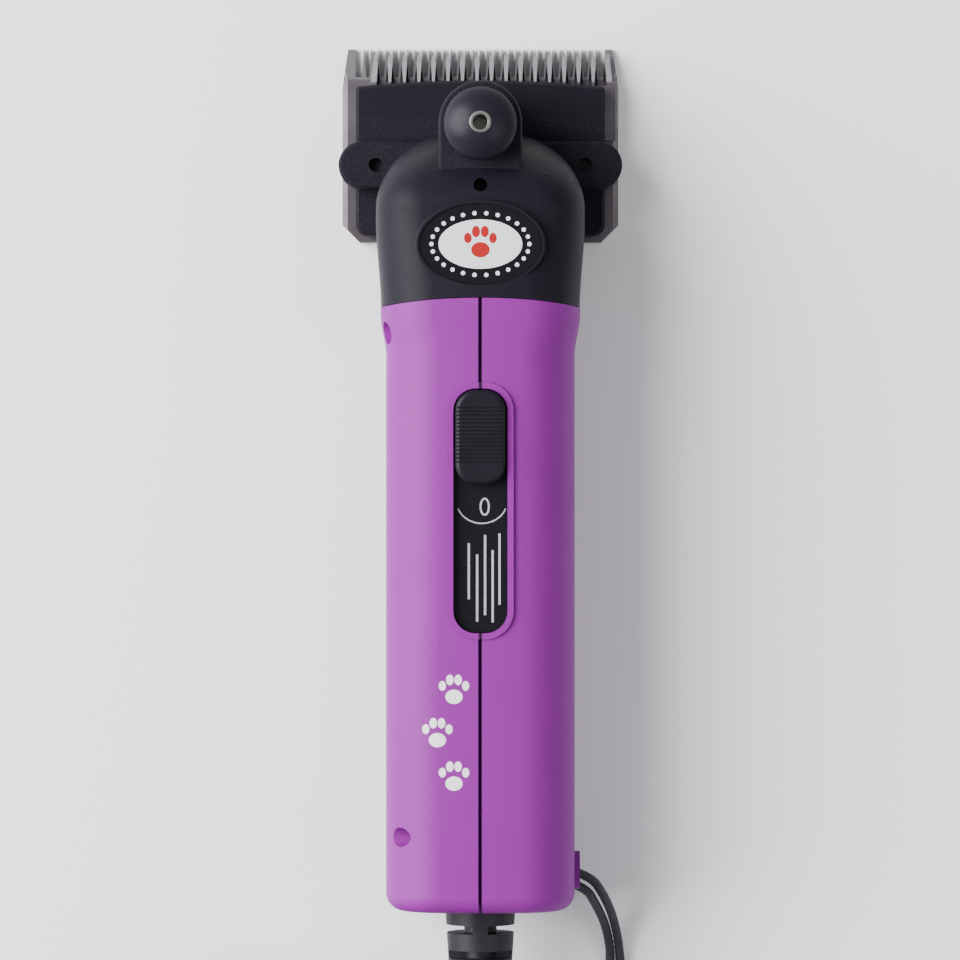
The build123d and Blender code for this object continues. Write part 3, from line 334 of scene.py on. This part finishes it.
def headPlastic():
    look = {"colour": (0.0065, 0.0055, 0.010), "dusty": (0.0095, 0.008, 0.0135),
            "crestGlint": (0.036, 0.033, 0.046), "grainDepth": 0.16, "speckSize": 0.42, "fineSize": 0.25}
    f = Finish("headPlastic", Specular_IOR_Level=0.10)
    low = 1 - f.z.step(21.0, 22.5)                  # hood and ears
    front = f.y.step(129.0, 130.0)                  # smooth band over the blades
    flatTop = f.z.step(44.7, 44.9) * (1 - f.z.step(45.02, 45.1)) * f.y.step(110.0, 112.0)  # tower
    rough = (low * (1 - front)).sum("MAXIMUM", low * (1 - front), flatTop)
    spark = f.noise(look["speckSize"], 3.0, 0.6)
    fine = f.noise(look["fineSize"], 1.0)
    height = rough * spark + (1 - rough) * fine * 0.12
    # painted glints: the raised points of the grain are coloured lighter where they would catch the light
    crestGlint = rough * spark.step(0.52, 0.7)
    plain = f.noise(9.0, 3.0).blend(opaque(look["colour"]), opaque(look["dusty"]))
    f.feed(Base_Color=(0.55 * crestGlint).blend(plain, opaque(look["crestGlint"])),
           Roughness=0.46 + 0.16 * rough + 0.08 * f.noise(2.0))
    f.bump(height, look["grainDepth"])
    return f


def satinBlack(name, colour, rough, grain, depth):
    # moulded plastic with a fine grain; also used for pale nylon
    f = Finish(name, Specular_IOR_Level=0.13)
    f.feed(Base_Color=f.noise(6.0, 3.0).blend(opaque(colour), opaque([c * 1.35 for c in colour])),
           Roughness=rough - 0.05 + 0.1 * f.noise(1.4))
    f.bump(f.noise(grain, 2.0), depth)
    return f


def groundSteel(name, top, startY, fall, ridge):
    # painted shade on the tooth flanks and a painted highlight along the ground ridge on top of each tooth
    look = {"base": (0.17, 0.155, 0.17), "stain": (0.12, 0.105, 0.115), "ridge": ridge,
            "flank": (0.035, 0.032, 0.038)}
    f = Finish(name, Metallic=1.0)
    lines = f.noise(0.6, 3.0, 0.6, (0.05, 1.0, 1.0))
    body = f.noise(16.0, 3.0).step(0.35, 0.75).blend(opaque(look["base"]), opaque(look["stain"]))
    below = top - fall * (f.y - startY) - f.z
    tooth = (1 - below.step(0.08, 0.45)).blend(opaque(look["flank"]), opaque(look["ridge"]))
    f.feed(Base_Color=f.y.step(startY - 0.3, startY + 0.6).blend(body, tooth),
           Roughness=0.28 + 0.2 * lines)
    f.bump(lines, 0.01)
    return f


def metal(name, colour, rough):
    # machined metal: fine uneven gloss and faint stains
    f = Finish(name, Metallic=1.0, Roughness=rough)
    lines = f.noise(0.5, 3.0, 0.6)
    f.feed(Base_Color=f.noise(3.0, 3.0).blend(opaque(colour), opaque([c * 0.8 for c in colour])),
           Roughness=rough - 0.06 + 0.14 * lines)
    f.bump(lines, 0.008)
    return f


def rubber(name, colour):
    # soft rubber or braid, dusty in patches
    f = Finish(name, Specular_IOR_Level=0.22)
    f.feed(Base_Color=f.noise(4.0, 3.0).blend(opaque(colour), opaque([c * 1.5 for c in colour])),
           Roughness=0.42 + 0.16 * f.noise(1.8))
    f.bump(f.noise(0.35, 2.0), 0.02)
    return f


def windings():
    # enamelled wire laid side by side
    f = Finish("copperWindings", Metallic=0.7, Roughness=0.3)
    strands = f.noise(0.35, 1.0, 0.5, (1.0, 0.08, 1.0))  # drawn out along the wire
    f.feed(Base_Color=strands.blend((0.30, 0.09, 0.03, 1), (0.62, 0.24, 0.09, 1)))
    f.bump(strands, 0.12)
    return f


def laminations():
    # stack of thin sheets along the shaft, with a dark line between each two
    f = Finish("laminations", Metallic=1.0, Roughness=0.45)
    thickness = 0.5
    across = f.y / thickness
    sheet = across.sum("FRACT", across)
    f.feed(Base_Color=sheet.step(0.7, 0.9).blend((0.26, 0.26, 0.28, 1), (0.10, 0.10, 0.11, 1)))
    f.bump(sheet, 0.05)
    return f


purple = purplePlastic(False)
purpleMarked = purplePlastic(True)
head = headPlastic()
knobBlack = satinBlack("knobBlack", (0.010, 0.009, 0.015), 0.36, 0.3, 0.012)
buttonBlack = satinBlack("buttonBlack", (0.007, 0.0065, 0.010), 0.38, 0.3, 0.014)
innerBlack = satinBlack("innerBlack", (0.03, 0.03, 0.034), 0.45, 0.5, 0.02)
labelBlack = satinBlack("labelBlack", (0.006, 0.006, 0.008), 0.26, 0.8, 0.004)
badgeBlack = satinBlack("badgeBlack", (0.006, 0.006, 0.008), 0.2, 0.8, 0.004)
nylon = satinBlack("nylon", (0.52, 0.49, 0.40), 0.45, 0.6, 0.01)
carbon = satinBlack("carbon", (0.03, 0.03, 0.03), 0.5, 0.3, 0.02)
plugBlack = satinBlack("plugBlack", (0.014, 0.014, 0.015), 0.38, 0.4, 0.03)
# the last value is the painted highlight colour along the tooth ridges
combSteel = groundSteel("combSteel", 3.05, 141.6, 0.2245, (0.30, 0.28, 0.30))
cutterSteel = groundSteel("cutterSteel", 6.4, 140.6, 0.209, (0.52, 0.50, 0.53))
zinc = metal("zincSteel", (0.55, 0.55, 0.56), 0.32)
blackScrew = metal("blackScrew", (0.035, 0.033, 0.036), 0.5)
greySteel = metal("greySteel", (0.28, 0.28, 0.26), 0.35)
castMetal = metal("castMetal", (0.55, 0.55, 0.57), 0.42)
brass = metal("turnedBrass", (0.66, 0.60, 0.44), 0.25)
reliefRubber = rubber("reliefRubber", (0.010, 0.010, 0.014))
cordRubber = rubber("cordRubber", (0.012, 0.012, 0.013))
loopBraid = rubber("loopBraid", (0.022, 0.022, 0.030))
copper = windings()
sheetSteel = laminations()

paint(purpleMarked, "left_shell")
paint(purple, "right_shell")
paint(head, "head_casing")
paint(badgeBlack, "badge_plate")
paint(labelBlack, "label_plate")
paint(knobBlack, "tension_knob")
paint(buttonBlack, "switch_button")
paint(reliefRubber, "strain_relief")
paint(cordRubber, "inner_cord")
paint(combSteel, "comb_blade")
paint(cutterSteel, "cutter_blade")
paint(blackScrew, "comb_screws", "shell_screws")
paint(greySteel, "knob_insert")
paint(zinc, "fulcrum_post", "fulcrum_clip", "motor_pinion", "crank_spindle",
      "front_bearing", "rear_bearing", "crank_bearing", "head_screws", "armature_shaft", "motor_bolts",
      "brush_springs", "spring_cup", "tension_spring", "tension_pin", "clamp_screws")
paint(castMetal, "drive_fork", "gear_plate")
paint(brass, "crank_roller", "brush_holders", "plug_pins")
paint(nylon, "crank_gear", "cooling_fan")
paint(copper, "field_coils", "armature_windings", "commutator")
paint(sheetSteel, "stator_core", "armature_core")
paint(innerBlack, "motor_bridge", "slider_link", "switch_module", "suppressor", "terminal_block",
      "cord_clamp")
paint(carbon, "carbon_brushes")
paint(plugBlack, "plug_body")
print("finishes done")

makeMainsCord(mainsCord, cordRubber)
makeHangingLoop(hangingLoop, loopBraid)
print("cords laid")


def printPatch(name, outline, low, high, finish):
    # a thin flat mark: its outline on two levels, closed to a centre point above and below
    centre = outline.mean(0)
    middle = np.broadcast_to(centre, outline.shape)
    rings = [(middle, high), (outline, high), (outline, low), (middle, low)]
    points = np.stack([np.c_[ring, np.full(len(ring), level)] for ring, level in rings])
    faces = gridFaces(len(rings), len(outline), False, True)
    piece = meshPiece(name, points * mm, faces, finish, "housing")
    tidyMesh(piece)
    flatShade(piece)
    return piece


def flatShade(piece):
    piece.data.polygons.foreach_set("use_smooth", np.zeros(len(piece.data.polygons), bool))


def ovalOutline(x, y, rx, ry, count):
    # even steps of angle round an ellipse about x, y
    angle = np.linspace(0, 2 * np.pi, count, endpoint=False)
    return np.c_[x + rx * np.cos(angle), y + ry * np.sin(angle)]


def strip(name, path, width, low, high, finish, closed=False):
    # a flat band of the given width along a path, with a square section
    ahead = np.gradient(path, axis=0) if not closed else np.roll(path, -1, 0) - np.roll(path, 1, 0)
    ahead /= np.linalg.norm(ahead, axis=1, keepdims=True)
    across = np.c_[-ahead[:, 1], ahead[:, 0]] * width / 2
    corners = [(path + across, high), (path - across, high), (path - across, low), (path + across, low)]
    points = np.stack([np.c_[p, np.full(len(p), level)] for p, level in corners], 1)
    faces = gridFaces(len(path), 4, closed, True)
    if not closed:
        end = (len(path) - 1) * 4
        faces = np.concatenate([faces, [[3, 2, 1, 0]], [[end, end + 1, end + 2, end + 3]]])
    piece = meshPiece(name, points * mm, faces, finish, "housing")
    tidyMesh(piece)
    flatShade(piece)
    return piece


badge = {"centre": (0.0, 92.3), "face": 51.6, "oval": (11.6, 6.85), "dots": 26,
         "dotRing": (13.55, 8.6), "dot": 0.62, "pawSize": 5.6,
         "print": (-0.02, 0.05), "pawPrint": (0.03, 0.09)}      # low and high, above the face
label = {"face": 51.6, "sink": 0.01, "ink": 0.05, "zero": (1.2, 19.6, 1.15, 2.25), "zeroLine": 0.5,
         "arc": (0.4, 21.2, 7.0, 6.2), "arcSpan": (200, 340), "arcLine": 0.36, "barLine": 0.62,
         "bars": [(5.3, 12.2, -7.5), (3.4, 7.6, -12.4), (1.3, 11.8, -10.4), (-0.9, 6.4, -12.2),
                  (-3.2, 9.5, -6.0)]}                # x, top, bottom


def joined(pieces, name):
    # several marks of one print made one piece
    bpy.ops.object.select_all(action="DESELECT")
    for piece in pieces:
        piece.select_set(True)
    bpy.context.view_layer.objects.active = pieces[0]
    bpy.ops.object.join()
    pieces[0].name = name


def ink(name, colour, rough):
    # printed ink, a little uneven in tone
    f = Finish(name, Roughness=rough)
    f.feed(Base_Color=f.noise(1.5, 2.0).blend(opaque(colour), opaque([c * 0.93 for c in colour])))
    return f


whiteInk = ink("whiteInk", (0.72, 0.73, 0.73), 0.3)
greyInk = ink("greyInk", (0.38, 0.38, 0.42), 0.35)
redInk = ink("redInk", (0.36, 0.004, 0.004), 0.35)


def makeBadge():
    x, y = badge["centre"]
    low, high = (badge["face"] + level for level in badge["print"])
    printPatch("badgeOval", ovalOutline(x, y, *badge["oval"], 72), low, high, whiteInk)
    ringX, ringY = badge["dotRing"]
    dots = []
    for k in range(badge["dots"]):
        turn = 2 * math.pi * k / badge["dots"]
        spot = ovalOutline(x + ringX * math.cos(turn), y + ringY * math.sin(turn), badge["dot"],
                           badge["dot"], 10)
        dots.append(printPatch("dot", spot, low, high, whiteInk))
    joined(dots, "badgeDots")
    low, high = (badge["face"] + level for level in badge["pawPrint"])
    pads = [printPatch("pad", ovalOutline(x + dx, y + dy, rx, ry, 28), low, high, redInk)
            for dx, dy, rx, ry in pawPads(badge["pawSize"])]
    joined(pads, "badgePaw")


def makeLabel():
    low, high = label["face"] - label["sink"], label["face"] + label["ink"]
    strip("labelZero", ovalOutline(*label["zero"], 40), label["zeroLine"], low, high, greyInk, True)
    x, y, rx, ry = label["arc"]
    turn = np.linspace(*np.radians(label["arcSpan"]), 32)
    strip("labelArc", np.c_[x + rx * np.cos(turn), y + ry * np.sin(turn)], label["arcLine"], low, high,
          greyInk)
    bars = []
    for x, top, bottom in label["bars"]:
        line = np.array([(x, top), (x, (top + bottom) / 2), (x, bottom)])
        bars.append(strip("bar", line, label["barLine"], low, high, greyInk))
    joined(bars, "labelBars")


makeBadge()
makeLabel()
print("marks printed")


studio = {"floor": (0.90, 0.90, 0.905), "floorSize": 3.0, "floorDrop": 0.0004,
          "lights": [("keyLight", (-1.35, 0.35, 1.05), 1.9, 120.0),     # name, place, size, power
                     ("fillLight", (1.0, -0.35, 1.2), 1.2, 8.0)],
          "skyColour": (0.95, 0.97, 1.0), "sky": 0.42, "aimHeight": 0.03}


def makeStudio():
    half = studio["floorSize"] / 2
    mesh = bpy.data.meshes.new("table")
    corners = [(-half, -half, 0), (half, -half, 0), (half, half, 0), (-half, half, 0)]
    mesh.from_pydata(corners, [], [(0, 1, 2, 3)])
    table = bpy.data.objects.new("table", mesh)
    table.location.z = -studio["floorDrop"]
    bpy.context.scene.collection.objects.link(table)
    f = Finish("paleTable", Roughness=0.75)
    lighter = [c * 1.03 for c in studio["floor"]]
    f.feed(Base_Color=f.noise(220.0).blend(opaque(studio["floor"]), opaque(lighter)))
    mesh.materials.append(f.material)
    for name, place, size, power in studio["lights"]:
        data = bpy.data.lights.new(name, "AREA")
        data.shape = "DISK"
        data.size = size
        data.energy = power
        light = bpy.data.objects.new(name, data)
        light.location = place
        aim = bpy.context.scene.camera.location.copy()
        aim.z = studio["aimHeight"]
        light.rotation_euler = (aim - light.location).to_track_quat("-Z", "Y").to_euler()
        bpy.context.scene.collection.objects.link(light)
    world = bpy.data.worlds.new("studio")
    world.use_nodes = True
    sky = world.node_tree.nodes["Background"]
    sky.inputs["Color"].default_value = opaque(studio["skyColour"])
    sky.inputs["Strength"].default_value = studio["sky"]
    bpy.context.scene.world = world


makeStudio()
print("studio lit")
